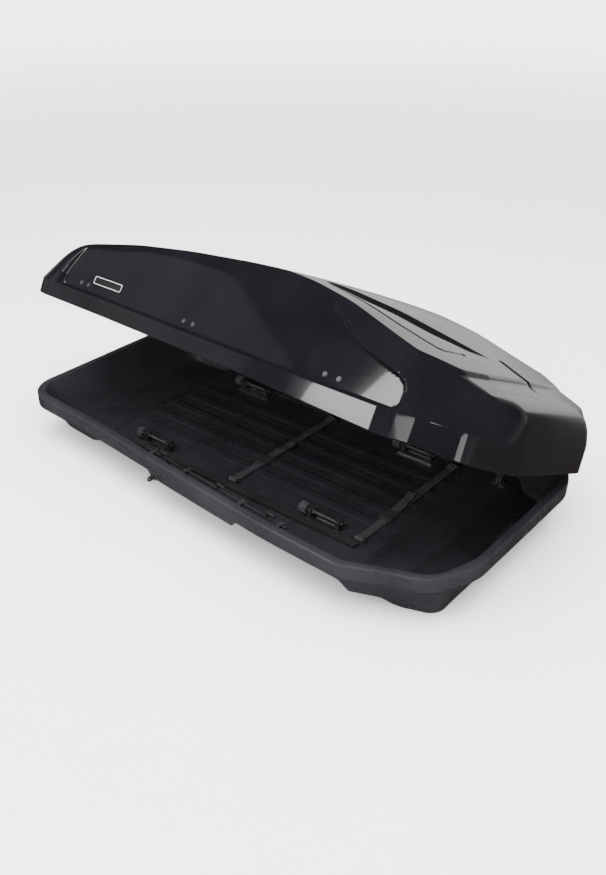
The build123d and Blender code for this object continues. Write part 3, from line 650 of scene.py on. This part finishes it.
BACKDROP_LIGHT = 4.6  # the backdrop's strength to the camera
ROOM_LIGHT = 1.9  # and its strength to everything that it lights
FLOOR_FADE = (2.0, 9.0)  # metres from the middle where the fade starts and ends
floor_tree = MATERIALS["floor"].node_tree
# Far from the box the floor fades into the backdrop, so that no horizon shows.
floor_place = floor_tree.nodes.new("ShaderNodeTexCoord")
from_middle = floor_tree.nodes.new("ShaderNodeVectorMath")
from_middle.operation = "LENGTH"
floor_tree.links.new(floor_place.outputs["Object"], from_middle.inputs[0])
far_away = floor_tree.nodes.new("ShaderNodeMapRange")
far_away.interpolation_type = "SMOOTHSTEP"
far_away.inputs["From Min"].default_value = FLOOR_FADE[0]
far_away.inputs["From Max"].default_value = FLOOR_FADE[1]
floor_tree.links.new(from_middle.outputs["Value"], far_away.inputs["Value"])
haze = floor_tree.nodes.new("ShaderNodeEmission")
haze.inputs["Color"].default_value = (0.95, 0.95, 0.95, 1)
haze.inputs["Strength"].default_value = BACKDROP_LIGHT
faded = floor_tree.nodes.new("ShaderNodeMixShader")
floor_tree.links.new(far_away.outputs["Result"], faded.inputs["Fac"])
floor_tree.links.new(floor_tree.nodes["Principled BSDF"].outputs["BSDF"], faded.inputs[1])
floor_tree.links.new(haze.outputs["Emission"], faded.inputs[2])
floor_shade, floor_dark = darker_in_reflections(
    faded.outputs["Shader"], floor_tree, (0.10, 0.10, 0.105), 0
)
floor_tree.links.new(floor_shade, floor_tree.nodes["Material Output"].inputs["Surface"])
# In reflections the floor is pale behind the box and dark beside and before it.
floor_split = floor_tree.nodes.new("ShaderNodeSeparateXYZ")
floor_tree.links.new(floor_place.outputs["Object"], floor_split.inputs["Vector"])
behind = floor_tree.nodes.new("ShaderNodeMapRange")
behind.interpolation_type = "SMOOTHSTEP"
behind.inputs["From Min"].default_value = 0.55
behind.inputs["From Max"].default_value = 2.2
floor_tree.links.new(floor_split.outputs["Y"], behind.inputs["Value"])
beside = floor_tree.nodes.new("ShaderNodeMapRange")
beside.interpolation_type = "SMOOTHSTEP"
beside.inputs["From Min"].default_value = 1.3
beside.inputs["From Max"].default_value = 0.3
floor_tree.links.new(floor_split.outputs["X"], beside.inputs["Value"])
both = floor_tree.nodes.new("ShaderNodeMath")
both.operation = "MULTIPLY"
floor_tree.links.new(behind.outputs["Result"], both.inputs[0])
floor_tree.links.new(beside.outputs["Result"], both.inputs[1])
floor_ramp = floor_tree.nodes.new("ShaderNodeValToRGB")
floor_ramp.color_ramp.elements[0].color = (0.050, 0.044, 0.036, 1)
floor_ramp.color_ramp.elements[1].color = (0.62, 0.61, 0.59, 1)
floor_tree.links.new(both.outputs["Value"], floor_ramp.inputs["Fac"])
floor_tree.links.new(floor_ramp.outputs["Color"], floor_dark.inputs["Color"])
bpy.ops.mesh.primitive_plane_add(size=60, location=(0, 0, FLOOR_Z))
floor = bpy.context.object
floor.name = "studio_floor"
floor.data.materials.append(MATERIALS["floor"])


def softbox(name, place, target, size, power, mirrored=True):
    """A soft rectangular light. Unless mirrored, gloss surfaces don't show its shape."""
    light = bpy.data.lights.new(name, "AREA")
    light.shape = "RECTANGLE"
    light.size, light.size_y = size
    light.energy = power
    holder = bpy.data.objects.new(name, light)
    holder.location = place
    holder.rotation_euler = (Vector(target) - Vector(place)).to_track_quat("-Z", "Y").to_euler()
    holder.visible_glossy = mirrored
    bpy.context.scene.collection.objects.link(holder)
    return holder


softbox("overhead", (0.3, -0.6, 4.2), (0, 0, 0), (5.0, 5.0), 760, mirrored=False)
softbox("front_fill", (1.6, -3.6, 1.3), (0, 0, 0.1), (3.0, 1.4), 130, mirrored=False)
softbox("window", (-1.02, -2.44, 1.86), (0.45, -0.3, 0.45), (0.58, 1.5), 19)
softbox("left_wall", (-4.6, -2.6, 2.4), (-0.4, -0.3, 0.4), (3.0, 2.4), 3.5)
softbox("tail_lamp", (1.5, -3.3, 2.6), (0.65, -0.3, 0.3), (0.22, 0.5), 5)
softbox("corner_lamp", (3.4, -2.2, 0.8), (0.6, -0.3, 0.1), (0.7, 0.8), 4)

world = bpy.data.worlds.new("studio")
bpy.context.scene.world = world
world.use_nodes = True
nodes, links = world.node_tree.nodes, world.node_tree.links
backdrop = nodes["Background"]
backdrop_strength = nodes.new("ShaderNodeMath")
backdrop_strength.operation = "MULTIPLY_ADD"
seen = nodes.new("ShaderNodeLightPath")
links.new(seen.outputs["Is Camera Ray"], backdrop_strength.inputs[0])
backdrop_strength.inputs[1].default_value = BACKDROP_LIGHT - ROOM_LIGHT
backdrop_strength.inputs[2].default_value = ROOM_LIGHT
links.new(backdrop_strength.outputs["Value"], backdrop.inputs["Strength"])
height = nodes.new("ShaderNodeTexCoord")
split = nodes.new("ShaderNodeSeparateXYZ")
links.new(height.outputs["Generated"], split.inputs["Vector"])
shade = nodes.new("ShaderNodeValToRGB")
shade.color_ramp.elements[0].color = (0.95, 0.95, 0.95, 1)
shade.color_ramp.elements[1].color = (0.90, 0.90, 0.905, 1)
links.new(split.outputs["Z"], shade.inputs["Fac"])
links.new(shade.outputs["Color"], backdrop.inputs["Color"])
world_shade, world_dark = darker_in_reflections(
    backdrop.outputs["Background"], world.node_tree, (0.020, 0.021, 0.024), 1.0
)
links.new(world_shade, nodes["World Output"].inputs["Surface"])
# Mirror-like surfaces see a dark room that is lighter just above the floor.
glow = nodes.new("ShaderNodeValToRGB")
glow.color_ramp.elements[0].position = 0.02
glow.color_ramp.elements[0].color = (0.20, 0.20, 0.20, 1)
glow.color_ramp.elements[1].position = 0.24
glow.color_ramp.elements[1].color = (0.018, 0.019, 0.022, 1)
links.new(split.outputs["Z"], glow.inputs["Fac"])
links.new(glow.outputs["Color"], world_dark.inputs["Color"])

# ---- camera ------------------------------------------------------------------------------------
AZIMUTH = math.radians(40.02)
ELEVATION = math.radians(35.18)
back = Vector((math.sin(AZIMUTH) * math.cos(ELEVATION), -math.cos(AZIMUTH) * math.cos(ELEVATION),
               math.sin(ELEVATION)))
right = Vector((math.cos(AZIMUTH), math.sin(AZIMUTH), 0))
camera_data = bpy.data.cameras.new("camera")
camera = bpy.data.objects.new("camera", camera_data)
turn = Matrix((right, back.cross(right), back)).transposed().to_4x4()
camera.matrix_world = Matrix.Translation((1.4556, -1.8047, 1.3956)) @ turn
camera_data.sensor_width = 36
camera_data.lens = 38.9
camera_data.shift_x = 0.036
camera_data.shift_y = 0.094
bpy.context.scene.collection.objects.link(camera)
bpy.context.scene.camera = camera
